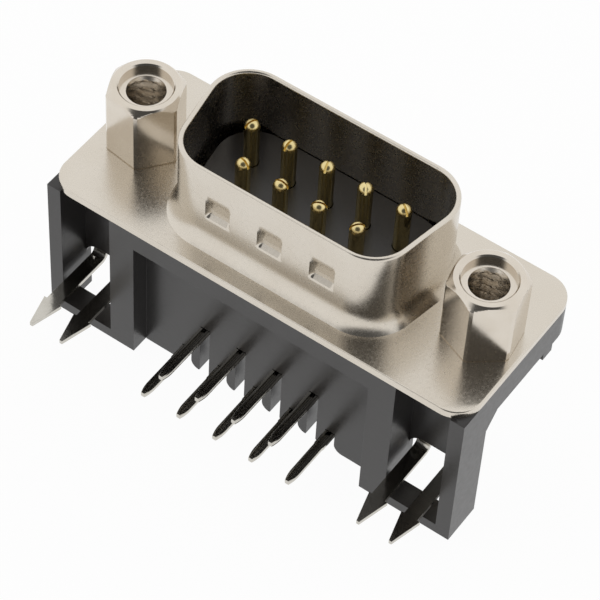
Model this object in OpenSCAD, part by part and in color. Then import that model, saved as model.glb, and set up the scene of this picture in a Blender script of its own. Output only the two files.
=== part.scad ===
// Nine-way right-angle board connector: drawn D shroud with pins, hexagonal jack sockets,
// moulded housing with a comb plate and end brackets, and spring board locks.
// Millimetres. +Z is the mating direction, -Y faces the circuit board, +X runs along the flange.
// The origin is the centre of the flange's front face.

/* [Flange and shroud] */
// Distance along X from a jack socket's middle to the flange's end
flange_end = 2.905; // [2.6:0.005:4.5]
// Width of the flange along Y
flange_h = 12.5; // [12.3:0.1:14]
// Thickness of the shell's sheet at the flange
flange_t = 0.5; // [0.4:0.05:0.7]
// Corner radius of the flange and of the plate behind it
flange_r = 1.8; // [1:0.1:2.6]
// Largest opening of the shroud along X, measured on its wide side
shroud_w = 16.9; // [16.7:0.1:17.5]
// Opening of the shroud along Y
shroud_h = 8.2; // [8:0.1:8.6]
// Slope of the shroud's two short sides, in degrees
shroud_slope = 10; // [8:1:12]
// Corner radius inside the shroud
shroud_r = 2.6; // [2:0.1:3]
// Wall of the shroud
shroud_t = 0.45; // [0.35:0.05:0.6]
// Height of the shroud's rim above the flange face
shroud_z = 6.4; // [5.8:0.1:7]
// Radius where the shroud's wall runs into the flange
root_r = 0.6; // [0.3:0.1:0.8]
// Number of pressed dimples in the long wall of the shroud
dimple_n = 3; // [1:1:3]
// Distance between neighbouring dimples
dimple_pitch = 3.8; // [3:0.1:4.2]
// Side of a dimple's square mouth
dimple_w = 1.7; // [1.2:0.1:2]
// Corner radius of a dimple
dimple_r = 0.3; // [0.2:0.1:0.5]
// Depth of a dimple
dimple_depth = 0.35; // [0.2:0.05:0.45]
// Height of the dimples' centres above the flange face
dimple_z = 3.6; // [2.6:0.1:4]

/* [Contacts] */
// Distance between neighbouring contacts in a row
pitch = 2.77; // [2.6:0.01:2.85]
// Distance between the two rows of contacts
row_gap = 2.84; // [2.6:0.01:3]
// Diameter of a mating pin
pin_d = 1; // [0.8:0.05:1.1]
// Height of the pin tips above the flange face
pin_z = 5.2; // [4.6:0.1:5.6]
// Width of the slit in a pin's tip
slit_w = 0.14; // [0.1:0.02:0.2]
// Depth of the slit in a pin's tip
slit_depth = 0.45; // [0.3:0.05:0.6]
// Turn of the slit in the first pin's tip, in degrees
slit_turn = 65; // [0:1:180]
// Turn from each pin's slit to the next one's, in degrees
slit_step = 20; // [0:1:90]
// Diameter of a contact's barrel inside the housing
barrel_d = 1.6; // [1.4:0.1:1.8]
// Length of a contact's barrel
barrel_l = 3.9; // [3:0.1:4]
// Width of a solder tail
tail_w = 0.62; // [0.5:0.02:0.7]
// Thickness of a solder tail
tail_t = 0.36; // [0.3:0.02:0.44]
// Radius of a tail's bend at its middle line
tail_bend_r = 0.8; // [0.6:0.1:1]
// Distance from the flange face to the narrow row's tails
tail_z = 7.9; // [7.6:0.1:8.2]
// Distance between the two rows of tails
tail_row_gap = 2.84; // [2.6:0.01:3]
// Reach of the tails below the middle of the connector
tail_reach = 9.5; // [8:0.1:11]
// Length of the taper at a tail's end
tail_taper = 0.9; // [0.4:0.1:1.4]
// Width of a tail's tip
tail_tip = 0.3; // [0.2:0.02:0.4]
// Width of the groove along a tail
groove_w = 0.26; // [0.16:0.02:0.34]
// Depth of the groove along a tail
groove_depth = 0.12; // [0.06:0.02:0.16]

/* [Jack sockets] */
// Distance between the two jack sockets
jack_span = 24.99; // [24.8:0.01:25.2]
// Distance across the flats of a jack socket's hexagon
hex_af = 4.5; // [4.2:0.1:4.8]
// Height of a jack socket above the flange face
hex_z = 5; // [4.4:0.1:6]
// Height of the chamfer on a hexagon's corners
hex_chamfer = 0.4; // [0.2:0.1:0.6]
// Distance from the flats in to the round end face
hex_land = 0.1; // [0.05:0.05:0.2]
// Turn of the left hexagon about its own axis, in degrees
hex_turn_left = 47; // [0:1:60]
// Turn of the right hexagon about its own axis, in degrees
hex_turn_right = 36; // [0:1:60]
// Root diameter of the internal thread
thread_bore_d = 2.4; // [2.2:0.1:2.6]
// Depth of the threaded bore
thread_bore_depth = 4.4; // [3.6:0.1:4.8]
// Diameter of the mouth that is bored out ahead of the thread
mouth_d = 3.3; // [2.9:0.1:3.6]
// Depth of the mouth
mouth_depth = 0.8; // [0.4:0.1:1.2]
// Outside diameter of the stud behind the flange
stud_d = 2.8; // [2.6:0.05:2.9]
// Length of the stud behind the flange face
stud_l = 6.3; // [5.6:0.1:7]
// Chamfer at a stud's end
stud_chamfer = 0.4; // [0.2:0.1:0.6]

/* [Housing] */
// Height of the pin insulator's face above the flange face
insulator_z = 1.5; // [0.8:0.1:2.2]
// Thickness of the plate behind the flange at its two ends
plate_t = 2.4; // [2:0.1:3]
// Thickness of the plate's board edge between the brackets
ledge_t = 1.5; // [1:0.1:1.9]
// Depth of the rear block, measured from the flange face
block_z = 6.3; // [6:0.1:6.6]
// Width of the rear block along X
block_w = 17; // [16:0.1:17.4]
// Width of the rear block along Y
block_h = 8.4; // [8:0.1:9]
// Corner radius of the rear block
block_r = 1; // [0.6:0.1:2]
// Setback of the comb plate from the board face
comb_set = 1.35; // [1:0.05:1.7]
// Thickness of the comb plate
comb_t = 1.5; // [1.2:0.1:1.8]
// Distance from the wide row's tails to the comb plate's rear edge
comb_lip = 1.46; // [1.2:0.02:2]
// Radius of the comb's fingers beside the wide row's tails
finger_r = 0.62; // [0.3:0.02:0.64]
// Radius of the comb's edges beside the narrow row's slots
slot_r = 0.1; // [0.06:0.02:0.3]
// Thickness of a bracket's inner wall
bracket_wall = 1.845; // [1.2:0.005:2.2]
// Distance from the flange face to a bracket's rear end
bracket_z = 12.1; // [12:0.1:12.6]
// Width of the pocket between a bracket's two walls
pocket_w = 3.8; // [3.6:0.1:4]
// Depth of the pocket from the board face to its curtain wall
pocket_d = 2.4; // [2.1:0.1:2.5]
// Thickness of the curtain wall behind the pocket
curtain_t = 0.5; // [0.4:0.05:0.6]
// Distance from the flange face to the curtain wall's arched edge
curtain_z = 7.6; // [7:0.1:8]
// Radius of the arch's corners
arch_r = 1; // [0.6:0.1:1.4]
// Depth along Y of the bar that closes a bracket's rear end
bar_d = 1.6; // [1.2:0.1:2]
// Thickness of that bar along Z
bar_t = 0.8; // [0.6:0.1:1.2]
// Length of the webs between the plate and the brackets' outer walls
gusset = 1.1; // [0.6:0.1:1.4]
// Length along Y of the lug that stops a board lock's strap
lug_l = 1; // [0.6:0.1:1.4]
// Height of that lug
lug_h = 0.6; // [0.4:0.1:0.8]

/* [Board locks and inserts] */
// Thickness of a board lock's sheet
lock_t = 0.3; // [0.2:0.05:0.4]
// Width of a board lock's base strap
lock_w = 5; // [4.8:0.1:5.2]
// Length of a board lock's base strap along Y
lock_l = 6; // [5.8:0.1:6.4]
// Width of one prong
prong_w = 0.95; // [0.8:0.05:1.1]
// Distance between the middles of the two prongs
prong_gap = 2.36; // [2.1:0.02:2.6]
// Distance from the flange face to the middle of a prong
prong_z = 8.95; // [8.6:0.05:9.4]
// Reach of the prongs below the middle of the connector
prong_reach = 10.4; // [9:0.1:12]
// Length of a prong's arrow head
head_l = 2.2; // [1.6:0.1:2.8]
// Width of a prong's arrow head
head_w = 1.35; // [1.1:0.05:1.5]
// Width of an arrow head's tip
head_tip = 0.2; // [0.1:0.05:0.4]
// Inner radius of a board lock's bends
lock_r = 0.4; // [0.2:0.1:0.6]
// Outside diameter of a threaded insert
insert_d = 4.8; // [4.2:0.1:5]
// Length of a threaded insert
insert_l = 2.4; // [2:0.1:3]

/* [Fits] */
// Gap between a contact and the housing around it
contact_gap = 0.03; // [0.02:0.01:0.06]
// Gap between a tail and its slot in the comb plate
slot_gap = 0.05; // [0.03:0.01:0.08]
// Gap between the insulator and the shroud around it
shell_gap = 0.05; // [0.03:0.01:0.1]
// Gap between the end of a board lock's strap and its lug
lug_gap = 0.2; // [0.1:0.1:0.4]
// Gap between the side of a board lock's strap and the web beside it
lock_gap = 0.1; // [0.05:0.05:0.15]
// Gap between a stud and what it passes through
stud_gap = 0.1; // [0.05:0.05:0.2]
// Gap between a stud's crest and its insert
thread_gap = 0.02; // [0.01:0.01:0.04]

/* [Hidden] */
$fn = 64;
eps = 0.01;
arc_n = 9;
wide_n = 5;
bend_n = 5;
jack_x = jack_span / 2;
flange_w = 2 * (jack_x + flange_end);
board_y = -flange_h / 2;
row_y = row_gap / 2;
plate_back = -flange_t - plate_t;
barrel_front = block_z - barrel_l;
comb_y = board_y + comb_set;
comb_back = comb_y + comb_t;
comb_z = tail_z + tail_row_gap + comb_lip;
pocket_y = board_y + pocket_d;
curtain_back = pocket_y + curtain_t;
pocket_x = jack_x - pocket_w / 2;
bracket_x = pocket_x - bracket_wall;
bracket_out = flange_w / 2;

// Place along X of contact number n: 1 to wide_n in the wide row, the rest in the narrow row.
function contact_x(n) = n <= wide_n ? (n - (wide_n + 1) / 2) * pitch : (n - 1.5 * wide_n) * pitch;
function is_wide(n) = n <= wide_n;
function contact_y(n) = is_wide(n) ? row_y : -row_y;
function contact_tail_z(n) = is_wide(n) ? tail_z + tail_row_gap : tail_z;

// The four corners of the D, wide side towards +Y, and the middles of its corner arcs.
// grow widens the D on every side by that much.
function d_corner(w, h, s) = [
    [w / 2, h / 2], [-w / 2, h / 2], [-w / 2 + h * tan(s), -h / 2], [w / 2 - h * tan(s), -h / 2]];
function unit(v) = v / norm(v);
function arc_middle(p, a, b, r) =
    let (u = unit(a - p), v = unit(b - p), half = acos(u * v) / 2)
    p + unit(u + v) * r / sin(half);
function d_middles() =
    let (c = d_corner(shroud_w, shroud_h, shroud_slope))
    [for (i = [0 : 3]) arc_middle(c[i], c[(i + 3) % 4], c[(i + 1) % 4], shroud_r)];
// Direction, in degrees, in which side i of the D faces outwards; side i starts at corner i.
function side_angle(i) = [90, 180 + shroud_slope, 270, 360 - shroud_slope][i];

// Angles, in degrees, at which the arc of corner i starts and ends.
function arc_start(i) = side_angle((i + 3) % 4) - (i == 0 ? 360 : 0);
function arc_end(i) = side_angle(i);

// Closed line round the D that lies out outside the shroud's inner wall.
function d_line(out) =
    let (m = d_middles())
    [for (i = [0 : 3], k = [0 : arc_n])
        let (a = arc_start(i) + (arc_end(i) - arc_start(i)) * k / arc_n)
        m[i] + (shroud_r + out) * along(a)];

// Flat D that lies grow outside the shroud's inner wall.
module d_area(grow) {
    m = d_middles();
    polygon([for (i = [0 : 3]) each side_ends(m, i, grow)]);
    for (p = m)
        translate(p) circle(shroud_r + grow);
}
function side_ends(m, i, grow) =
    let (out = (shroud_r + grow) * along(side_angle(i)))
    [m[i] + out, m[(i + 1) % 4] + out];

// Rectangle with round corners, centred.
module round_rect(w, h, r) {
    square([w - 2 * r, h], center = true);
    square([w, h - 2 * r], center = true);
    for (sx = [-1, 1], sy = [-1, 1])
        translate([sx * (w / 2 - r), sy * (h / 2 - r)]) circle(r);
}

// Section of the shroud's drawn wall as [distance out from the inner wall, height]: up the inside,
// over the rounded rim, down the outside and along the root that spreads into the flange.
function wall_section() =
    let (rim_r = shroud_t / 2, root = shroud_t + root_r)
    concat(
        [[0, -flange_t]],
        [for (k = [0 : bend_n]) [rim_r, shroud_z - rim_r] + rim_r * along(180 - 180 * k / bend_n)],
        [for (k = [0 : bend_n]) [root, root_r] + root_r * along(180 + 90 * k / bend_n)],
        [[root, -flange_t]]);
function along(a) = [cos(a), sin(a)];

// The shroud's wall: its section carried round the D.
module shroud_wall() {
    rings = [for (p = wall_section()) [for (q = d_line(p.x)) [q.x, q.y, p.y]]];
    n = len(rings[0]);
    m = len(rings);
    polyhedron(
        points = [for (r = rings) each r],
        faces = [for (j = [0 : m - 1], k = [0 : n - 1])
            let (j2 = (j + 1) % m, k2 = (k + 1) % n)
            [j * n + k, j * n + k2, j2 * n + k2, j2 * n + k]]);
}

module at_dimples() {
    for (i = [0 : dimple_n - 1])
        translate([(i - (dimple_n - 1) / 2) * dimple_pitch, -shroud_h / 2, dimple_z])
            children();
}

module front_shell() color("#cfc6b8") {
    difference() {
        union() {
            translate([0, 0, -flange_t])
                linear_extrude(flange_t)
                    difference() {
                        round_rect(flange_w, flange_h, flange_r);
                        d_area(shroud_t / 2);
                        for (s = [-1, 1])
                            translate([s * jack_x, 0]) circle(d = stud_d + 2 * stud_gap);
                    }
            shroud_wall();
            at_dimples()
                translate([0, -eps, 0])
                    rotate([-90, 0, 0])
                        linear_extrude(dimple_depth + eps)
                            round_rect(dimple_w, dimple_w, dimple_r);
        }
        at_dimples()
            translate([0, -shroud_t - eps, 0])
                rotate([-90, 0, 0])
                    linear_extrude(dimple_depth + eps)
                        round_rect(dimple_w, dimple_w, dimple_r);
    }
}

// Slot in the comb plate for one tail, drawn flat with X along the row and Y along the depth.
module slot(x, depth, flare_r) {
    slot_w = tail_w + 2 * slot_gap;
    start = depth - tail_t / 2 - slot_gap;
    translate([x - slot_w / 2, start]) square([slot_w, comb_z - start + eps]);
    difference() {
        translate([x - slot_w / 2 - flare_r, comb_z - flare_r])
            square([slot_w + 2 * flare_r, flare_r + eps]);
        for (s = [-1, 1])
            translate([x + s * (slot_w / 2 + flare_r), comb_z - flare_r]) circle(flare_r);
    }
}

module comb_plate() {
    translate([0, comb_back, 0])
        rotate([90, 0, 0])
            linear_extrude(comb_t)
                mirror([0, 1])
                    difference() {
                        translate([-bracket_x - eps, flange_t])
                            square([2 * (bracket_x + eps), comb_z - flange_t]);
                        for (n = [1 : 2 * wide_n - 1])
                            slot(contact_x(n), contact_tail_z(n), is_wide(n) ? finger_r : slot_r);
                    }
}

// Opening under the curtain wall, with an arched upper edge, drawn flat with Y along the depth.
module arch_outline() {
    open_h = bracket_z - bar_t - curtain_z;
    translate([0, -curtain_z - open_h / 2]) round_rect(pocket_w, open_h, arch_r);
    translate([-pocket_w / 2, -bracket_z - eps]) square([pocket_w, bracket_z - curtain_z - arch_r]);
}

// One end bracket on the +X side: two walls, a rear bar, and a curtain wall with an arched edge.
module bracket() {
    depth = curtain_back - board_y;
    difference() {
        translate([bracket_x, board_y, -bracket_z])
            cube([bracket_out - bracket_x, depth, bracket_z - flange_t - eps]);
        translate([pocket_x, board_y - eps, -bracket_z + bar_t])
            cube([pocket_w, pocket_d + eps, bracket_z]);
        translate([pocket_x, board_y + bar_d, -bracket_z - eps])
            cube([pocket_w, depth, bar_t + 2 * eps]);
        translate([jack_x, curtain_back + eps, 0])
            rotate([90, 0, 0])
                linear_extrude(curtain_t + 2 * eps)
                    arch_outline();
    }
    wall_gusset();
}

// Web in the corner between the plate and the back of a bracket's outer wall.
module wall_gusset() {
    wall_x = jack_x + lock_w / 2 + lock_gap;
    translate([wall_x, curtain_back, plate_back])
        rotate([90, 0, 90])
            linear_extrude(bracket_out - wall_x)
                polygon([[-eps, eps], [gusset, eps], [-eps, -gusset]]);
}

module mount_plate() {
    difference() {
        translate([0, 0, plate_back])
            linear_extrude(plate_t)
                round_rect(flange_w, flange_h, flange_r);
        translate([-bracket_x, board_y - eps, plate_back - eps])
            cube([2 * bracket_x, comb_set + eps, plate_t - ledge_t + eps]);
        for (s = [-1, 1])
            translate([s * jack_x - pocket_w / 2, board_y - eps, plate_back - eps])
                cube([pocket_w, pocket_d + eps, plate_t + 2 * eps]);
    }
}

// Lug behind the plate that stops the far end of a board lock's strap.
module strap_lug() {
    translate([jack_x, curtain_back + lock_l + lug_gap, plate_back - lug_h])
        cube([bracket_out - jack_x, lug_l, lug_h + eps]);
}

module housing() color("#3a3735") {
    difference() {
        union() {
            translate([0, 0, -flange_t - eps])
                linear_extrude(flange_t + insulator_z + eps)
                    d_area(-shell_gap);
            mount_plate();
            translate([0, 0, -block_z])
                linear_extrude(block_z - flange_t - eps)
                    round_rect(block_w, block_h, block_r);
            comb_plate();
            for (s = [0, 1])
                mirror([s, 0, 0]) {
                    bracket();
                    strap_lug();
                }
        }
        for (n = [1 : 2 * wide_n - 1])
            translate([contact_x(n), contact_y(n), 0]) {
                translate([0, 0, -block_z - eps])
                    cylinder(d = pin_d + 2 * contact_gap, h = block_z + insulator_z + 2 * eps);
                translate([0, 0, -block_z - eps])
                    cylinder(d = barrel_d + 2 * contact_gap, h = barrel_l + eps);
            }
        for (s = [-1, 1])
            translate([s * jack_x, 0, plate_back - eps])
                cylinder(d = stud_d + 2 * stud_gap, h = plate_t + 2 * eps);
    }
}

// Tapered end of a tail or of a pin: a flat outline that narrows to a blunt tip at Y = 0.
module taper_outline(w, tip, l) {
    polygon([[-w / 2, l], [w / 2, l], [tip / 2, 0], [-tip / 2, 0]]);
}

// Groove along a tail's upper face, with a round end towards the tip.
module groove_outline(l) {
    circle(d = groove_w);
    translate([-groove_w / 2, 0]) square([groove_w, l]);
}

// One contact: slit round-tipped pin, barrel, and a tail bent to a right angle.
module contact(n) color(n <= wide_n ? "#c9b37a" : "#c4ad73") {
    depth = contact_tail_z(n);
    y0 = contact_y(n);
    drop_end = -tail_reach - y0;
    translate([contact_x(n), y0, 0]) {
        difference() {
            union() {
                translate([0, 0, -barrel_front]) cylinder(d = pin_d, h = barrel_front + pin_z - pin_d / 2);
                translate([0, 0, pin_z - pin_d / 2]) sphere(d = pin_d);
            }
            rotate([0, 0, slit_turn + slit_step * (n - 1)])
                translate([-pin_d, -slit_w / 2, pin_z - slit_depth])
                    cube([2 * pin_d, slit_w, slit_depth + eps]);
        }
        translate([0, 0, -block_z]) cylinder(d = barrel_d, h = barrel_l);
        translate([-tail_w / 2, -tail_t / 2, -depth + tail_bend_r])
            cube([tail_w, tail_t, depth - tail_bend_r - block_z + eps]);
        translate([0, -tail_bend_r, -depth + tail_bend_r])
            rotate([0, 90, 0])
                rotate_extrude(angle = 90)
                    translate([tail_bend_r, 0])
                        square([tail_t, tail_w], center = true);
        difference() {
            translate([-tail_w / 2, drop_end + tail_taper, -depth - tail_t / 2])
                cube([tail_w, -tail_bend_r - drop_end - tail_taper, tail_t]);
            translate([0, drop_end + tail_taper + groove_w, -depth + tail_t / 2 - groove_depth])
                linear_extrude(groove_depth + eps)
                    groove_outline(tail_reach + comb_back - tail_taper - groove_w);
        }
        translate([0, drop_end, -depth - tail_t / 2])
            linear_extrude(tail_t)
                taper_outline(tail_w, tail_tip, tail_taper);
    }
}

// Turned hexagonal socket with a threaded bore in front and a stud behind.
module jackscrew(turn) color("#c9bfae") {
    corner_d = hex_af / cos(30);
    difference() {
        union() {
            intersection() {
                rotate([0, 0, turn]) cylinder(d = corner_d, h = hex_z, $fn = 6);
                rotate_extrude()
                    polygon([[0, 0], [corner_d / 2 + eps, 0], [corner_d / 2 + eps, hex_z - hex_chamfer],
                             [hex_af / 2 - hex_land, hex_z], [0, hex_z]]);
            }
            translate([0, 0, -stud_l + stud_chamfer])
                cylinder(d = stud_d, h = stud_l - stud_chamfer + eps);
            translate([0, 0, -stud_l])
                cylinder(d1 = stud_d - 2 * stud_chamfer, d2 = stud_d, h = stud_chamfer);
        }
        translate([0, 0, hex_z - thread_bore_depth])
            cylinder(d = thread_bore_d, h = thread_bore_depth + eps);
        translate([0, 0, hex_z - mouth_depth]) cylinder(d = mouth_d, h = mouth_depth + eps);
    }
}

// Side outline of a board lock's strap, drawn with X along Y and Y along Z: it lies under the
// plate, turns down behind the curtain wall and turns out towards the board.
module strap_outline() {
    out_r = lock_r + lock_t;
    front = curtain_back;
    top = plate_back;
    translate([front + out_r, top - lock_t]) square([lock_l - out_r, lock_t]);
    bend(front + out_r, top - out_r, 1);
    translate([front, -prong_z + lock_t / 2 + lock_r])
        square([lock_t, top - out_r + prong_z - lock_t / 2 - lock_r]);
    bend(front - lock_r, -prong_z + lock_t / 2 + lock_r, -1);
}

// Quarter ring about a point: up and to the left for side 1, down and to the right for side -1.
module bend(x, y, side) {
    out_r = lock_r + lock_t;
    translate([x, y])
        intersection() {
            difference() {
                circle(out_r);
                circle(lock_r);
            }
            translate([side > 0 ? -out_r : 0, side > 0 ? 0 : -out_r]) square(out_r);
        }
}

module prong_outline() {
    root = curtain_back - lock_r + eps;
    shoulder = -prong_reach + head_l;
    translate([-prong_w / 2, shoulder]) square([prong_w, root - shoulder]);
    translate([0, -prong_reach]) taper_outline(head_w, head_tip, head_l);
}

// Board lock on the +X side.
module boardlock() color("#b9b6ae") {
    translate([jack_x, 0, 0]) {
        difference() {
            intersection() {
                translate([-lock_w / 2, 0, 0])
                    rotate([90, 0, 90])
                        linear_extrude(lock_w)
                            strap_outline();
                union() {
                    translate([-lock_w / 2, curtain_back, plate_back - lock_t - lock_r])
                        cube([lock_w, lock_l + eps, lock_t + lock_r]);
                    for (s = [-1, 1])
                        translate([s * prong_gap / 2 - prong_w / 2, -flange_h, -prong_z - lock_t])
                            cube([prong_w, flange_h + curtain_back + lock_t + lock_r, prong_z]);
                }
            }
            translate([0, 0, plate_back - lock_t - eps])
                cylinder(d = stud_d + 2 * stud_gap, h = lock_t + 2 * eps);
        }
        for (s = [-1, 1])
            translate([s * prong_gap / 2, 0, -prong_z - lock_t / 2])
                linear_extrude(lock_t)
                    prong_outline();
    }
}

// Threaded insert on the +X side, pressed on the strap.
module insert() color("#b8ab94") {
    translate([jack_x, 0, plate_back - lock_t - insert_l])
        difference() {
            cylinder(d = insert_d, h = insert_l);
            translate([0, 0, -eps]) cylinder(d = stud_d + 2 * thread_gap, h = insert_l + 2 * eps);
        }
}

front_shell();
housing();
contact(1);  // contact_1
contact(2);  // contact_2
contact(3);  // contact_3
contact(4);  // contact_4
contact(5);  // contact_5
contact(6);  // contact_6
contact(7);  // contact_7
contact(8);  // contact_8
contact(9);  // contact_9
translate([-jack_x, 0, 0]) jackscrew(hex_turn_left);  // jackscrew_left
translate([jack_x, 0, 0]) jackscrew(hex_turn_right);  // jackscrew_right
mirror([1, 0, 0]) boardlock();  // boardlock_left
boardlock();  // boardlock_right
mirror([1, 0, 0]) insert();  // insert_left
insert();  // insert_right
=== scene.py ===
import math

import bmesh
import bpy
from mathutils import Matrix, Vector


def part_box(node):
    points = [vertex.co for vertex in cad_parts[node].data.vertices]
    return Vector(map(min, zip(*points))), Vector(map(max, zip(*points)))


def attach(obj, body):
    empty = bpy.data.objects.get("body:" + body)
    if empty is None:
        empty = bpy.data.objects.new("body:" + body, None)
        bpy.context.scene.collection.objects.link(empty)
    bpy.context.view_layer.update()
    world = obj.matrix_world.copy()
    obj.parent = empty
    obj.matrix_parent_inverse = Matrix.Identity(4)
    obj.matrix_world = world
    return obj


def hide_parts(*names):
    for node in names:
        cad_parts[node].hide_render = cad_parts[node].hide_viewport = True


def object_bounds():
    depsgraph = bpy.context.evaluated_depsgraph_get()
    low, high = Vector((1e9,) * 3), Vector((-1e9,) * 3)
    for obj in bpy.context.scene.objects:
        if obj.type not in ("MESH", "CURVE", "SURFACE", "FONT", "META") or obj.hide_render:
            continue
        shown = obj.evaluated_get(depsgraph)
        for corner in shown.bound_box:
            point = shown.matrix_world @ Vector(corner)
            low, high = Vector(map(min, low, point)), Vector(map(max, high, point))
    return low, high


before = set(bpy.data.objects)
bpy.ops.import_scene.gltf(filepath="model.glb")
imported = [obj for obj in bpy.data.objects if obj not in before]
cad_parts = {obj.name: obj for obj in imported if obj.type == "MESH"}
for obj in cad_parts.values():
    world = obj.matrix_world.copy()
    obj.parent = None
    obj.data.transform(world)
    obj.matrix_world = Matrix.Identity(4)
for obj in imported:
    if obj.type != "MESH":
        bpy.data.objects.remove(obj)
cad_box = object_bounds()


# Front shell. The flange and the D shroud are one sheet of tin plated steel, deep drawn and pierced.
# Three dimples are pressed into the long wall that faces the board, each a ramp with a small ledge.
MM = 0.001
OPENING_W, OPENING_H = 17.7 * MM, 8.2 * MM
SIDE_SLOPE = math.radians(10)
OPENING_R = 2.4 * MM
WALL = 0.35 * MM
ROOT_R, ROOT_TURN = 1.8 * MM, math.radians(50)
FLANGE_R = 1.8 * MM
EDGE_R = 0.12 * MM
JACK_X = 12.495 * MM
STUD_HOLE_R = 1.5 * MM
DIMPLE_PITCH, DIMPLE_W, DIMPLE_H, DIMPLE_DEPTH = 3.8 * MM, 1.75 * MM, 2.2 * MM, 0.35 * MM
DIMPLE_Z = 3.4 * MM
DIMPLE_EDGE = 0.14 * MM
GRID = 0.1 * MM
ARC_STEPS = 16
SHARP_ANGLE = math.radians(32)


def spread(start, end, steps):
    """Evenly spaced values from start to end, both included."""
    return [start + (end - start) * i / steps for i in range(steps + 1)]


def ease(t):
    """Smooth step from 0 to 1."""
    t = min(1.0, max(0.0, t))
    return t * t * (3 - 2 * t)


def d_corners():
    """Middle of each corner arc of the D with the direction in which its side starts and ends."""
    half_w, half_h = OPENING_W / 2, OPENING_H / 2
    drift = 2 * half_h * math.tan(SIDE_SLOPE)
    top_x = half_w - OPENING_R / math.tan((math.pi / 2 - SIDE_SLOPE) / 2)
    bottom_x = half_w - drift - OPENING_R / math.tan((math.pi / 2 + SIDE_SLOPE) / 2)
    top_y, bottom_y = half_h - OPENING_R, OPENING_R - half_h
    quarter, slope = math.pi / 2, SIDE_SLOPE
    return [
        (top_x, top_y, -slope, quarter),
        (-top_x, top_y, quarter, 2 * quarter + slope),
        (-bottom_x, bottom_y, 2 * quarter + slope, 3 * quarter),
        (bottom_x, bottom_y, 3 * quarter, 4 * quarter - slope),
    ]


def d_outline(out):
    """Points round the D that lies out outside the shroud's inner wall, closer along the board side."""
    corners = d_corners()
    points = []
    for index, (x, y, start, end) in enumerate(corners):
        radius = OPENING_R + out
        for angle in spread(start, end, ARC_STEPS):
            points.append((x + radius * math.cos(angle), y + radius * math.sin(angle)))
        if index == 2:
            reach = corners[3][0] - x
            steps = round(2 * abs(x) / GRID)
            for share in spread(0, 1, steps)[1:-1]:
                points.append((x + reach * share, y - radius))
    return points


def dimple(x, z):
    """How far the wall is pressed in at that place."""
    sunk = 0.0
    for middle in (-DIMPLE_PITCH, 0.0, DIMPLE_PITCH):
        side = ease((DIMPLE_W / 2 - abs(x - middle)) / DIMPLE_EDGE)
        top, bottom = DIMPLE_Z + DIMPLE_H / 2, DIMPLE_Z - DIMPLE_H / 2
        ramp = ease(1.3 * (top - z) / DIMPLE_H)
        ledge = ease((z - bottom) / (2 * DIMPLE_EDGE))
        sunk = max(sunk, DIMPLE_DEPTH * side * ramp * ledge)
    return sunk


def shroud_profile(rim_z, back_z):
    """Section of the shroud's wall: distance out from the inner wall, and height."""
    fine = spread(DIMPLE_Z - 0.75 * DIMPLE_H, DIMPLE_Z + 0.75 * DIMPLE_H, round(1.5 * DIMPLE_H / GRID))
    rim = WALL / 2
    profile = [(0.0, back_z), (0.0, 0.0)] + [(0.0, z) for z in fine]
    for angle in spread(math.pi, 0, 10):
        profile.append((rim + rim * math.cos(angle), rim_z - rim + rim * math.sin(angle)))
    profile += [(WALL, z) for z in reversed(fine)]
    for angle in spread(0, ROOT_TURN, 14):
        profile.append((WALL + ROOT_R * (1 - math.cos(angle)), ROOT_R * (math.sin(ROOT_TURN) - math.sin(angle))))
    return profile


def add_ring(bm, points):
    return [bm.verts.new(point) for point in points]


def join_rings(bm, first, second, material=0):
    """Faces between two closed rings with as many points each."""
    count = len(first)
    for i in range(count):
        j = (i + 1) % count
        face = bm.faces.new((first[i], first[j], second[j], second[i]))
        face.material_index = material


def fill_between(bm, rings, up):
    """Flat face inside the first ring with the other rings as its holes."""
    edges = []
    for ring in rings:
        for i, vert in enumerate(ring):
            edges.append(bm.edges.get((vert, ring[(i + 1) % len(ring)])) or
                         bm.edges.new((vert, ring[(i + 1) % len(ring)])))
    bmesh.ops.triangle_fill(bm, edges=edges, use_beauty=True, normal=(0, 0, up))


def rounded_rectangle(width, height, radius, z):
    points = []
    for index, (sx, sy) in enumerate(((1, 1), (-1, 1), (-1, -1), (1, -1))):
        x, y = sx * (width / 2 - radius), sy * (height / 2 - radius)
        for angle in spread(index * math.pi / 2, (index + 1) * math.pi / 2, ARC_STEPS):
            points.append((x + radius * math.cos(angle), y + radius * math.sin(angle), z))
    return points


def circle_points(x, y, z, radius, steps=48):
    return [(x + radius * math.cos(math.tau * i / steps), y + radius * math.sin(math.tau * i / steps), z)
            for i in range(steps)]


def finished_piece(name, bm, materials, node, sharp=SHARP_ANGLE):
    """Makes the object from its mesh, shades it, and puts it in the place of its solid."""
    bmesh.ops.remove_doubles(bm, verts=bm.verts, dist=1e-7)
    bmesh.ops.recalc_face_normals(bm, faces=bm.faces)
    mesh = bpy.data.meshes.new(name)
    bm.to_mesh(mesh)
    bm.free()
    mesh.shade_smooth()
    mesh.set_sharp_from_angle(angle=sharp)
    for material in materials:
        mesh.materials.append(material)
    piece = bpy.data.objects.new(name, mesh)
    bpy.context.scene.collection.objects.link(piece)
    weights = piece.modifiers.new("even_normals", "WEIGHTED_NORMAL")
    weights.keep_sharp = True
    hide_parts(node)
    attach(piece, "root")
    return piece


def srgb(code):
    """Linear colour of an sRGB hex value."""
    channels = [int(code[i:i + 2], 16) / 255 for i in (0, 2, 4)]
    return [c / 12.92 if c <= 0.04045 else ((c + 0.055) / 1.055) ** 2.4 for c in channels] + [1.0]


def add_node(tree, kind, inputs=None, **settings):
    """One node with its settings, its values and its links."""
    node = tree.nodes.new(kind)
    for key, value in settings.items():
        setattr(node, key, value)
    for key, value in (inputs or {}).items():
        socket = node.inputs[key]
        if isinstance(value, bpy.types.NodeSocket):
            tree.links.new(value, socket)
        else:
            socket.default_value = value
    return node


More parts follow.
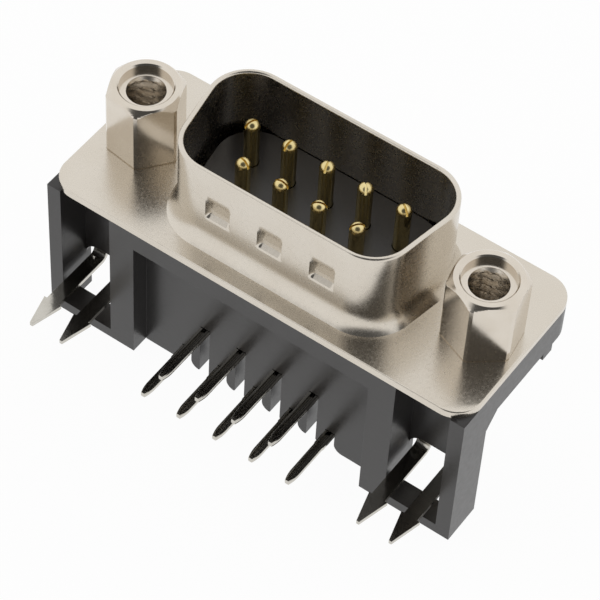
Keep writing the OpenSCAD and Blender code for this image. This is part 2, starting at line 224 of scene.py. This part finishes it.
def new_material(name):
    """An empty material: its tree and the socket that its surface goes into."""
    material = bpy.data.materials.new(name)
    material.use_nodes = True
    material.node_tree.nodes.clear()
    output = add_node(material.node_tree, "ShaderNodeOutputMaterial")
    return material, material.node_tree, output.inputs["Surface"]


def two_tone(tree, pattern, first, second):
    """Colour that drifts between two sRGB values with a pattern."""
    mix = add_node(tree, "ShaderNodeMix", {0: pattern.outputs["Fac"], 6: srgb(first), 7: srgb(second)},
                   data_type="RGBA")
    return mix.outputs[2]


def tin_plated_steel():
    """Bright tin over drawn steel: a warm satin mirror with a fine grain and faint warm stains."""
    material, tree, surface = new_material("tin_plated_steel")
    place = add_node(tree, "ShaderNodeTexCoord").outputs["Object"]
    stain = add_node(tree, "ShaderNodeTexNoise", {"Vector": place, "Scale": 1 / (5 * MM), "Detail": 3.0})
    colour = two_tone(tree, stain, "DCD6CC", "CFC6B8")
    grain = add_node(tree, "ShaderNodeTexNoise", {"Vector": place, "Scale": 1 / (0.22 * MM), "Detail": 2.0})
    rough = add_node(tree, "ShaderNodeMapRange", {
        "Value": grain.outputs["Fac"], "To Min": 0.16, "To Max": 0.34})
    bump = add_node(tree, "ShaderNodeBump", {
        "Height": grain.outputs["Fac"], "Strength": 0.25, "Distance": 0.01 * MM})
    shader = add_node(tree, "ShaderNodeBsdfPrincipled", {
        "Base Color": colour, "Metallic": 1.0,
        "Roughness": rough.outputs["Result"], "Normal": bump.outputs["Normal"]})
    tree.links.new(shader.outputs[0], surface)
    return material


shell_low, shell_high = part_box("front_shell")
bm = bmesh.new()
rings = []
for out, z in shroud_profile(shell_high.z, shell_low.z):
    ring = []
    for x, y in d_outline(out):
        front = y < -OPENING_H / 2 - out + 1e-6
        ring.append((x, y + (dimple(x, z) if front else 0.0), z))
    rings.append(add_ring(bm, ring))
for first, second in zip(rings, rings[1:]):
    join_rings(bm, first, second)
flange_w, flange_h = shell_high.x - shell_low.x, shell_high.y - shell_low.y
edge = []
for angle in spread(0, math.pi / 2, 4):
    inset = EDGE_R * (1 - math.sin(angle))
    z = -EDGE_R + EDGE_R * math.cos(angle)
    edge.append(add_ring(bm, rounded_rectangle(flange_w - 2 * inset, flange_h - 2 * inset, FLANGE_R - inset, z)))
edge.append(add_ring(bm, rounded_rectangle(flange_w, flange_h, FLANGE_R, shell_low.z)))
for first, second in zip(edge, edge[1:]):
    join_rings(bm, first, second)
holes = []
for side in (-1, 1):
    top = add_ring(bm, circle_points(side * JACK_X, 0, 0, STUD_HOLE_R))
    back = add_ring(bm, circle_points(side * JACK_X, 0, shell_low.z, STUD_HOLE_R))
    join_rings(bm, top, back)
    holes.append((top, back))
fill_between(bm, [edge[0], rings[-1], holes[0][0], holes[1][0]], 1)
fill_between(bm, [edge[-1], rings[0], holes[0][1], holes[1][1]], -1)
finished_piece("front_shell", bm, [tin_plated_steel()], "front_shell")


# Housing. One moulding in glass filled black plastic: the pin insulator, the plate behind the flange,
# the rear block, the comb that lines up the tails, and a bracket at each end.
MOULD_R = 0.08 * MM
FLAT_ANGLE = math.radians(1)


def black_moulded_plastic():
    """Glass filled polyester: black, half glossy from the mould, with a faint grain of the filler."""
    material, tree, surface = new_material("black_moulded_plastic")
    place = add_node(tree, "ShaderNodeTexCoord").outputs["Object"]
    filler = add_node(tree, "ShaderNodeTexNoise", {"Vector": place, "Scale": 1 / (0.3 * MM), "Detail": 4.0})
    colour = two_tone(tree, filler, "262423", "302D2C")
    rough = add_node(tree, "ShaderNodeMapRange", {
        "Value": filler.outputs["Fac"], "To Min": 0.24, "To Max": 0.4})
    bump = add_node(tree, "ShaderNodeBump", {
        "Height": filler.outputs["Fac"], "Strength": 0.3, "Distance": 0.01 * MM})
    shader = add_node(tree, "ShaderNodeBsdfPrincipled", {
        "Base Color": colour, "Roughness": rough.outputs["Result"],
        "IOR": 1.55, "Normal": bump.outputs["Normal"]})
    tree.links.new(shader.outputs[0], surface)
    return material


bm = bmesh.new()
bm.from_mesh(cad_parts["housing"].data)
bmesh.ops.remove_doubles(bm, verts=bm.verts, dist=1e-7)
bmesh.ops.dissolve_limit(bm, angle_limit=FLAT_ANGLE, verts=bm.verts, edges=bm.edges)
housing = finished_piece("housing", bm, [black_moulded_plastic()], "housing")
rounding = housing.modifiers.new("mould_edges", "BEVEL")
rounding.width = MOULD_R
rounding.segments = 2
rounding.limit_method = "ANGLE"
rounding.angle_limit = SHARP_ANGLE
rounding.use_clamp_overlap = True
housing.modifiers.move(1, 0)


# Contacts. Each is stamped from brass strip: a rolled pin with a coined round tip that keeps its slit,
# and a grooved solder tail bent to a right angle. Gold flash covers the pin, bright tin the tail.
PIN_R = 0.49 * MM
TIP_R = 0.5 * MM
SLIT_W, SLIT_DEPTH = 0.14 * MM, 0.45 * MM
SEAM_W, SEAM_DEPTH = 0.05 * MM, 0.08 * MM
BARREL_R = 0.8 * MM
BARREL_L = 3.9 * MM
BLOCK_Z = -6.3 * MM
BARREL_FRONT = BLOCK_Z + BARREL_L
TAIL_T = 0.36 * MM
TAIL_HALF_W = 0.31 * MM
ROOT_HALF_W = 0.35 * MM
SHOULDER_Y = -6.2 * MM
BEND_R = 0.8 * MM
GROOVE_HALF_W, GROOVE_DEPTH = 0.16 * MM, 0.2 * MM
TAPER_L = 0.9 * MM
TIP_HALF_W = 0.15 * MM
RIM_R = 0.06 * MM
ROW_Y = 1.42 * MM
PITCH = 2.77 * MM


def turned(bm, profile, steps=48, material=0):
    """Surface of a turned part from its (radius, height) profile about the Z axis."""
    rings = [add_ring(bm, circle_points(0, 0, z, radius, steps)) for radius, z in profile]
    for first, second in zip(rings, rings[1:]):
        join_rings(bm, first, second, material)
    return rings


def cut_boxes(bm, boxes):
    """The mesh with each box, given by its middle, size and turn about Z, cut out of it."""
    bmesh.ops.recalc_face_normals(bm, faces=bm.faces)
    body = bpy.data.meshes.new("blank")
    bm.to_mesh(body)
    bm.free()
    blank = bpy.data.objects.new("blank", body)
    bpy.context.scene.collection.objects.link(blank)
    cutters = []
    for middle, size, turn in boxes:
        tool = bmesh.new()
        bmesh.ops.create_cube(tool, size=1)
        bmesh.ops.scale(tool, vec=size, verts=tool.verts)
        bmesh.ops.translate(tool, vec=middle, verts=tool.verts)
        bmesh.ops.rotate(tool, cent=(0, 0, 0), matrix=Matrix.Rotation(turn, 3, "Z"), verts=tool.verts)
        mesh = bpy.data.meshes.new("cutter")
        tool.to_mesh(mesh)
        tool.free()
        cutter = bpy.data.objects.new("cutter", mesh)
        bpy.context.scene.collection.objects.link(cutter)
        cut = blank.modifiers.new("cut", "BOOLEAN")
        cut.object = cutter
        cut.solver = "EXACT"
        cutters.append(cutter)
    bpy.context.view_layer.update()
    result = blank.evaluated_get(bpy.context.evaluated_depsgraph_get()).to_mesh()
    cleaned = bmesh.new()
    cleaned.from_mesh(result)
    for spare in [blank] + cutters:
        bpy.data.objects.remove(spare)
    return cleaned

def strip_section(half_w, groove):
    """Outline across a tail, from under it round to its grooved upper side. groove runs from 0 to 1."""
    half_t = TAIL_T / 2
    points = []
    for sx, sy, start in ((-1, -1, 180), (1, -1, 270), (1, 1, 0)):
        for angle in spread(math.radians(start), math.radians(start + 90), 3):
            points.append((sx * (half_w - RIM_R) + RIM_R * math.cos(angle),
                           sy * (half_t - RIM_R) + RIM_R * math.sin(angle)))
    for angle in spread(0, math.pi, 8):
        points.append((GROOVE_HALF_W * math.cos(angle) * min(1, half_w / TAIL_HALF_W),
                       half_t - groove * GROOVE_DEPTH * math.sin(angle)))
    for angle in spread(math.radians(90), math.radians(180), 3):
        points.append((-half_w + RIM_R + RIM_R * math.cos(angle), half_t - RIM_R + RIM_R * math.sin(angle)))
    return points


def tail_stations(row_y, depth, tip_y):
    """Middle line of a tail: place along Y and Z, direction of its upper side, half width and groove."""
    stations = [(row_y, BLOCK_Z + 0.3 * MM, math.pi, ROOT_HALF_W, 1.0)]
    for angle in spread(0, math.pi / 2, 12):
        y = row_y - BEND_R + BEND_R * math.cos(angle)
        z = depth + BEND_R - BEND_R * math.sin(angle)
        stations.append((y, z, math.pi - angle, ROOT_HALF_W, 1.0))
    flat = math.pi / 2
    for y, half_w in ((SHOULDER_Y + 0.12 * MM, ROOT_HALF_W), (SHOULDER_Y, TAIL_HALF_W)):
        stations.append((y, depth, flat, half_w, 1.0))
    for share in spread(0, 1, 10):
        half_w = TAIL_HALF_W - (TAIL_HALF_W - TIP_HALF_W) * share ** 2
        stations.append((tip_y + TAPER_L * (1 - share), depth, flat, half_w, ease(3 - 3.4 * share)))
    return stations


def swept_tail(bm, x, stations, material):
    """Sweeps the strip's section along its stations and closes both ends."""
    rings = []
    for y, z, lean, half_w, groove in stations:
        up_y, up_z = math.cos(lean), math.sin(lean)
        rings.append(add_ring(bm, [(x + u, y + v * up_y, z + v * up_z)
                                   for u, v in strip_section(half_w, groove)]))
    for first, second in zip(rings, rings[1:]):
        join_rings(bm, first, second, material)
    for ring in (rings[0], rings[-1]):
        bm.faces.new(ring).material_index = material


def pin_profile(tip_z):
    """Radius and height of a pin from its barrel to its tip."""
    profile = [(BARREL_R, BLOCK_Z), (BARREL_R, BARREL_FRONT), (PIN_R, BARREL_FRONT)]
    dome_z = tip_z - TIP_R
    profile += [(PIN_R, dome_z - 0.1 * MM), (TIP_R, dome_z - 0.06 * MM)]
    profile += [(TIP_R * math.cos(angle), dome_z + TIP_R * math.sin(angle))
                for angle in spread(0, math.radians(88), 10)]
    return profile


def gold_flash():
    """Thin gold over nickel: a pale yellow mirror, a little dulled by stamping."""
    material, tree, surface = new_material("gold_flash")
    place = add_node(tree, "ShaderNodeTexCoord").outputs["Object"]
    wear = add_node(tree, "ShaderNodeTexNoise", {"Vector": place, "Scale": 1 / (0.5 * MM), "Detail": 3.0})
    colour = two_tone(tree, wear, "E9D9A4", "DCC88C")
    rough = add_node(tree, "ShaderNodeMapRange", {
        "Value": wear.outputs["Fac"], "To Min": 0.14, "To Max": 0.3})
    shader = add_node(tree, "ShaderNodeBsdfPrincipled", {
        "Base Color": colour, "Metallic": 1.0, "Roughness": rough.outputs["Result"]})
    tree.links.new(shader.outputs[0], surface)
    return material


def bright_tin(name):
    """Tin dip over brass strip: a neutral mirror, slightly wavy where the dip ran."""
    material, tree, surface = new_material(name)
    place = add_node(tree, "ShaderNodeTexCoord").outputs["Object"]
    run = add_node(tree, "ShaderNodeTexNoise", {"Vector": place, "Scale": 1 / (0.6 * MM), "Detail": 2.0})
    colour = two_tone(tree, run, "CFCCC4", "BDB9B0")
    bump = add_node(tree, "ShaderNodeBump", {
        "Height": run.outputs["Fac"], "Strength": 0.4, "Distance": 0.02 * MM})
    shader = add_node(tree, "ShaderNodeBsdfPrincipled", {
        "Base Color": colour, "Metallic": 1.0, "Roughness": 0.14,
        "Normal": bump.outputs["Normal"]})
    tree.links.new(shader.outputs[0], surface)
    return material


pin_gold, tail_tin = gold_flash(), bright_tin("bright_tin_tail")
for number in range(1, 10):
    name = f"contact_{number}"
    low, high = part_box(name)
    x = (low.x + high.x) / 2
    row_y = ROW_Y if number <= 5 else -ROW_Y
    bm = bmesh.new()
    rings = turned(bm, pin_profile(high.z), 32)
    for ring in (rings[0], rings[-1]):
        bm.faces.new(ring)
    turn = math.radians(65 + 20 * (number - 1))
    seam_z = (high.z - TIP_R) / 2
    bm = cut_boxes(bm, [
        ((0, 0, high.z), (3 * TIP_R, SLIT_W, 2 * SLIT_DEPTH), turn),
        ((PIN_R, 0, seam_z), (2 * SEAM_DEPTH, SEAM_W, high.z), turn)])
    bmesh.ops.translate(bm, vec=(x, row_y, 0), verts=bm.verts)
    swept_tail(bm, x, tail_stations(row_y, low.z + TAIL_T / 2, low.y), 1)
    finished_piece(name, bm, [pin_gold, tail_tin], name)


# Jack sockets. Turned from hexagonal bar and nickel plated: a chamfered face, a bored mouth with a
# number 4-40 thread below it, and a threaded stud that clamps the shell to the housing.
HEX_AF = 4.5 * MM
HEX_CORNER_R = 2.53 * MM
CHAMFER_H, LAND_IN = 0.4 * MM, 0.1 * MM
MOUTH_R, MOUTH_DEPTH = 1.7 * MM, 0.5 * MM
MOUTH_EDGE = 0.1 * MM
THREAD_PITCH = 0.635 * MM
THREAD_DEPTH = 0.22 * MM
BORE_R, BORE_DEPTH = 1.25 * MM, 4.4 * MM
STUD_R, STUD_CHAMFER = 1.4 * MM, 0.4 * MM
FOOT_EDGE = 0.08 * MM
HEX_TURNS = {"left": math.radians(52), "right": math.radians(39)}
SIDE_STEPS, CORNER_STEPS = 12, 4


def hex_angles(turn):
    """Angles round the hexagon, measured so that flats and rounded corners each get their own points."""
    half_flat = math.acos(HEX_AF / 2 / HEX_CORNER_R)
    angles = []
    for side in range(6):
        middle = turn + math.radians(30 + 60 * side)
        angles += spread(middle - half_flat, middle + half_flat, SIDE_STEPS)
        corner = math.radians(60) - half_flat
        angles += spread(middle + half_flat, middle + corner, CORNER_STEPS)[1:-1]
    return angles


def hex_radius(angle, turn):
    """Distance from the middle to the side of the hexagonal bar."""
    within = (angle - turn) % math.radians(60) - math.radians(30)
    return min(HEX_CORNER_R, HEX_AF / 2 / math.cos(within))


def thread_wave(angle, z):
    """Place across one turn of a right-hand thread: 0 at the crest and 1 at the root."""
    share = (z / THREAD_PITCH - angle / math.tau) % 1.0
    return 1 - abs(2 * share - 1)


def nickel_plate():
    """Bright nickel over turned bar: a warm mirror with faint tool marks round the axis."""
    material, tree, surface = new_material("nickel_plate")
    place = add_node(tree, "ShaderNodeTexCoord").outputs["Object"]
    cloud = add_node(tree, "ShaderNodeTexNoise", {"Vector": place, "Scale": 1 / (1.6 * MM), "Detail": 4.0})
    colour = two_tone(tree, cloud, "DED7CC", "D0C6B8")
    rough = add_node(tree, "ShaderNodeMapRange", {
        "Value": cloud.outputs["Fac"], "To Min": 0.1, "To Max": 0.24})
    shader = add_node(tree, "ShaderNodeBsdfPrincipled", {
        "Base Color": colour, "Metallic": 1.0, "Roughness": rough.outputs["Result"]})
    tree.links.new(shader.outputs[0], surface)
    return material


def thread_rings(bm, radius, depth, low_z, high_z, steps=72):
    """Rings of a thread cut depth deep into a wall of that radius; depth is negative for a bore."""
    levels = spread(low_z, high_z, round((high_z - low_z) / (THREAD_PITCH / 12)))
    rings = []
    for z in levels:
        fade = ease(3 * min(z - low_z, high_z - z) / THREAD_PITCH)
        ring = []
        for i in range(steps):
            angle = math.tau * i / steps
            r = radius - depth * fade * thread_wave(angle, z)
            ring.append((r * math.cos(angle), r * math.sin(angle), z))
        rings.append(add_ring(bm, ring))
    for first, second in zip(rings, rings[1:]):
        join_rings(bm, first, second)
    return rings


nickel = nickel_plate()
for side, turn in HEX_TURNS.items():
    name = f"jackscrew_{side}"
    low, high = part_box(name)
    bm = bmesh.new()
    angles = hex_angles(turn)
    levels = [0.0, FOOT_EDGE, high.z - CHAMFER_H * 1.2] + spread(high.z - CHAMFER_H, high.z, 14)
    rings = []
    for z in levels:
        cone = HEX_CORNER_R - (HEX_CORNER_R - HEX_AF / 2 + LAND_IN) * (z - high.z + CHAMFER_H) / CHAMFER_H
        foot = FOOT_EDGE if z == 0.0 else 0.0
        ring = []
        for angle in angles:
            r = min(hex_radius(angle, turn), cone) - foot
            ring.append((r * math.cos(angle), r * math.sin(angle), z))
        rings.append(add_ring(bm, ring))
    for first, second in zip(rings, rings[1:]):
        join_rings(bm, first, second)
    bore = turned(bm, [(MOUTH_R + MOUTH_EDGE, high.z), (MOUTH_R, high.z - MOUTH_EDGE),
                       (MOUTH_R, high.z - MOUTH_DEPTH)], 72)
    floor_z = high.z - BORE_DEPTH
    thread = thread_rings(bm, BORE_R, -THREAD_DEPTH, floor_z, high.z - MOUTH_DEPTH)
    fill_between(bm, [rings[-1], bore[0]], 1)
    fill_between(bm, [bore[-1], thread[-1]], 1)
    bm.faces.new(thread[0])
    stud = thread_rings(bm, STUD_R, THREAD_DEPTH, low.z + STUD_CHAMFER, 0.0)
    end = add_ring(bm, circle_points(0, 0, low.z, STUD_R - STUD_CHAMFER, 72))
    join_rings(bm, end, stud[0])
    bm.faces.new(end)
    fill_between(bm, [rings[0], stud[-1]], -1)
    bmesh.ops.translate(bm, vec=(math.copysign(JACK_X, low.x), 0, 0), verts=bm.verts)
    finished_piece(name, bm, [nickel], name, math.radians(20))


# Board locks. Each is a strap blanked from tinned brass sheet and bent twice, so that its two
# arrow-headed prongs stand out to snap into one hole of the board. The insert clamps it to the plate.
LOCK_T, LOCK_R = 0.3 * MM, 0.4 * MM
LOCK_W, PRONG_W, PRONG_GAP = 5 * MM, 0.95 * MM, 2.36 * MM
HEAD_L, HEAD_W, HEAD_TIP = 2.2 * MM, 1.35 * MM, 0.2 * MM
BLANK_EDGE = 0.06 * MM
MID_R = LOCK_R + LOCK_T / 2
BEND_L = MID_R * math.pi / 2
BEND_CUTS = 8
CURTAIN_Y = -3.35 * MM
LOCK_HOLE_R = 1.5 * MM

def lock_path(low, high):
    """Middle line of the bent strap from its far end: lengths at which a run or a bend starts, and its shape."""
    top_z, out_z = high.z - LOCK_T / 2, low.z + LOCK_T / 2
    wall_y = CURTAIN_Y + LOCK_T / 2
    flat = high.y - (wall_y + MID_R)
    drop = top_z - out_z - 2 * MID_R
    return flat, drop, top_z, out_z, wall_y


def bent_place(x, along, height, low, high):
    """Place of a point of the flat blank after bending."""
    flat, drop, top_z, out_z, wall_y = lock_path(low, high)
    if along <= flat:
        return Vector((x, high.y - along, top_z + height))
    along -= flat
    if along <= BEND_L:
        angle = along / MID_R
        radius = MID_R + height
        return Vector((x, wall_y + MID_R - radius * math.sin(angle), top_z - MID_R + radius * math.cos(angle)))
    along -= BEND_L
    if along <= drop:
        return Vector((x, wall_y - height, top_z - MID_R - along))
    along -= drop
    if along <= BEND_L:
        angle = along / MID_R
        radius = MID_R - height
        return Vector((x, wall_y - MID_R + radius * math.cos(angle), out_z + MID_R - radius * math.sin(angle)))
    return Vector((x, wall_y - MID_R - along + BEND_L, out_z + height))


def lock_outline(low, high):
    """Corners of the flat blank: place across and length from its far end."""
    flat, drop, top_z, out_z, wall_y = lock_path(low, high)
    fork = flat + BEND_L
    end = fork + drop + BEND_L + (wall_y - MID_R - low.y)
    half = LOCK_W / 2
    points = [(half, fork - LOCK_R), (half, 0.0), (-half, 0.0), (-half, fork - LOCK_R)]
    for middle in (-PRONG_GAP / 2, PRONG_GAP / 2):
        left, right = middle - PRONG_W / 2, middle + PRONG_W / 2
        neck = end - HEAD_L
        points += [(left, fork), (left, neck), (middle - HEAD_W / 2, neck), (middle - HEAD_TIP / 2, end),
                   (middle + HEAD_TIP / 2, end), (middle + HEAD_W / 2, neck), (right, neck), (right, fork)]
    return points


tin_sheet = bright_tin("bright_tin_sheet")
for side in ("left", "right"):
    name = f"boardlock_{side}"
    low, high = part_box(name)
    flat, drop, top_z, out_z, wall_y = lock_path(low, high)
    bm = bmesh.new()
    loops = [lock_outline(low, high),
             [(x, y) for x, y, z in circle_points(0, high.y, 0, LOCK_HOLE_R)]]
    for height in (-LOCK_T / 2, LOCK_T / 2):
        rings = [add_ring(bm, [(x, along, height) for x, along in loop]) for loop in loops]
        fill_between(bm, rings, 1)
        if height < 0:
            lower = rings
    for first, second in zip(lower, rings):
        join_rings(bm, first, second)
    stations = spread(flat, flat + BEND_L, BEND_CUTS)
    stations += spread(flat + BEND_L + drop, flat + 2 * BEND_L + drop, BEND_CUTS)
    for along in stations:
        bmesh.ops.bisect_plane(bm, geom=bm.verts[:] + bm.edges[:] + bm.faces[:], plane_co=(0, along, 0),
                               plane_no=(0, 1, 0))
    middle = (low.x + high.x) / 2
    for vert in bm.verts:
        vert.co = bent_place(middle + vert.co.x, vert.co.y, vert.co.z, low, high)
    piece = finished_piece(name, bm, [tin_sheet], name)
    rounding = piece.modifiers.new("blank_edges", "BEVEL")
    rounding.width = BLANK_EDGE
    rounding.segments = 2
    rounding.limit_method = "ANGLE"
    rounding.angle_limit = math.radians(40)
    piece.modifiers.move(1, 0)


# Inserts. Each is a brass nut, knurled round its side, that the jack socket's stud screws into
# behind the strap of the board lock.
INSERT_R, INSERT_L = 2.1 * MM, 1.7 * MM
INSERT_BORE_R = 1.42 * MM
KNURLS, KNURL_DEPTH = 30, 0.12 * MM
INSERT_EDGE = 0.2 * MM


def satin_brass():
    """Turned brass left as cut: yellow, with a satin sheen."""
    material, tree, surface = new_material("satin_brass")
    place = add_node(tree, "ShaderNodeTexCoord").outputs["Object"]
    cut = add_node(tree, "ShaderNodeTexNoise", {"Vector": place, "Scale": 1 / (0.4 * MM), "Detail": 3.0})
    colour = two_tone(tree, cut, "C9AE72", "B79A60")
    rough = add_node(tree, "ShaderNodeMapRange", {
        "Value": cut.outputs["Fac"], "To Min": 0.22, "To Max": 0.4})
    shader = add_node(tree, "ShaderNodeBsdfPrincipled", {
        "Base Color": colour, "Metallic": 1.0, "Roughness": rough.outputs["Result"]})
    tree.links.new(shader.outputs[0], surface)
    return material


brass = satin_brass()
for side in ("left", "right"):
    name = f"insert_{side}"
    low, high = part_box(name)
    outer_r, low.z = INSERT_R, high.z - INSERT_L
    bm = bmesh.new()
    rings = [add_ring(bm, circle_points(0, 0, low.z, outer_r - INSERT_EDGE, 4 * KNURLS))]
    for z in (low.z + INSERT_EDGE, high.z - INSERT_EDGE):
        ring = []
        for i in range(4 * KNURLS):
            angle = math.tau * i / (4 * KNURLS)
            radius = outer_r - KNURL_DEPTH * (i % 4 == 0)
            ring.append((radius * math.cos(angle), radius * math.sin(angle), z))
        rings.append(add_ring(bm, ring))
    rings.append(add_ring(bm, circle_points(0, 0, high.z, outer_r - INSERT_EDGE, 4 * KNURLS)))
    for first, second in zip(rings, rings[1:]):
        join_rings(bm, first, second)
    bore = turned(bm, [(INSERT_BORE_R, low.z), (INSERT_BORE_R, high.z)])
    fill_between(bm, [rings[0], bore[0]], -1)
    fill_between(bm, [rings[-1], bore[-1]], 1)
    bmesh.ops.translate(bm, vec=((low.x + high.x) / 2, 0, 0), verts=bm.verts)
    finished_piece(name, bm, [brass], name)


# Floor. A sheet of white paper under the connector, which lies on its back. The camera and the
# metal see it as plain white, and it keeps a faint soft shadow.
FLOOR_HALF = 1.5
WHITE_SHARE = 0.96


def seen_directly(tree):
    """1 for what the camera sees straight, in a reflection or through glass, else 0."""
    rays = add_node(tree, "ShaderNodeLightPath").outputs
    mirrored = add_node(tree, "ShaderNodeMath", {0: rays["Is Camera Ray"], 1: rays["Is Glossy Ray"]},
                        operation="MAXIMUM")
    every = add_node(tree, "ShaderNodeMath", {0: mirrored.outputs[0], 1: rays["Is Transmission Ray"]},
                     operation="MAXIMUM")
    return every.outputs[0]


def white_paper():
    material, tree, surface = new_material("white_paper")
    share = add_node(tree, "ShaderNodeMath", {0: seen_directly(tree), 1: WHITE_SHARE}, operation="MULTIPLY")
    paper = add_node(tree, "ShaderNodeBsdfDiffuse", {"Color": srgb("F4F4F4")})
    white = add_node(tree, "ShaderNodeEmission", {"Color": srgb("FFFFFF"), "Strength": 1.0})
    mix = add_node(tree, "ShaderNodeMixShader", {0: share.outputs[0], 1: paper.outputs[0], 2: white.outputs[0]})
    tree.links.new(mix.outputs[0], surface)
    return material


bm = bmesh.new()
bm.faces.new(add_ring(bm, [(sx * FLOOR_HALF, sy * FLOOR_HALF, cad_box[0][2])
                           for sx, sy in ((-1, -1), (1, -1), (1, 1), (-1, 1))]))
mesh = bpy.data.meshes.new("floor")
bm.to_mesh(mesh)
bm.free()
mesh.materials.append(white_paper())
floor = bpy.data.objects.new("floor", mesh)
bpy.context.scene.collection.objects.link(floor)


# Camera. It looks down on the mating face from the front right, close to along the pins.
CAMERA_TURN = math.radians(32.351)
CAMERA_LIFT = math.radians(51.334)
CAMERA_ROLL = math.radians(3.838)
CAMERA_RANGE = 169.425 * MM
CAMERA_AIM = Vector((2.512 * MM, -4.604 * MM, 0))
LENS = 170.5

back = Vector((math.sin(CAMERA_TURN) * math.cos(CAMERA_LIFT),
               -math.cos(CAMERA_TURN) * math.cos(CAMERA_LIFT), math.sin(CAMERA_LIFT)))
level = Vector((math.cos(CAMERA_TURN), math.sin(CAMERA_TURN), 0))
rise = back.cross(level)
right = level * math.cos(CAMERA_ROLL) + rise * math.sin(CAMERA_ROLL)
camera_data = bpy.data.cameras.new("camera")
camera_data.lens = LENS
camera_data.sensor_width = 36
camera = bpy.data.objects.new("camera", camera_data)
camera.matrix_world = Matrix.Translation(CAMERA_AIM + back * CAMERA_RANGE) @ Matrix(
    (right, back.cross(right), back)).transposed().to_4x4()
bpy.context.scene.collection.objects.link(camera)
bpy.context.scene.camera = camera


# Studio. White walls and ceiling all round give soft even light. The wall behind the camera is dark.
ROOM_BRIGHT, ROOM_DARK = 1.0, 0.08

world = bpy.data.worlds.new("studio")
bpy.context.scene.world = world
world.use_nodes = True
tree = world.node_tree
tree.nodes.clear()
direction = add_node(tree, "ShaderNodeTexCoord").outputs["Generated"]
facing = add_node(tree, "ShaderNodeVectorMath", {0: direction, 1: back}, operation="DOT_PRODUCT")
level_of_light = add_node(tree, "ShaderNodeMapRange", {
    "Value": facing.outputs["Value"], "From Min": 0.72, "From Max": 0.88, "To Min": ROOM_BRIGHT,
    "To Max": ROOM_DARK}, interpolation_type="SMOOTHSTEP")
room = add_node(tree, "ShaderNodeBackground", {"Color": srgb("FFFFFF"),
                                               "Strength": level_of_light.outputs["Result"]})
plain = add_node(tree, "ShaderNodeBackground", {"Color": srgb("FFFFFF"), "Strength": 1.0})
camera_ray = add_node(tree, "ShaderNodeLightPath").outputs["Is Camera Ray"]
mix = add_node(tree, "ShaderNodeMixShader", {0: camera_ray, 1: room.outputs[0], 2: plain.outputs[0]})
output = add_node(tree, "ShaderNodeOutputWorld", {"Surface": mix.outputs[0]})

bpy.context.scene.view_settings.view_transform = "Standard"
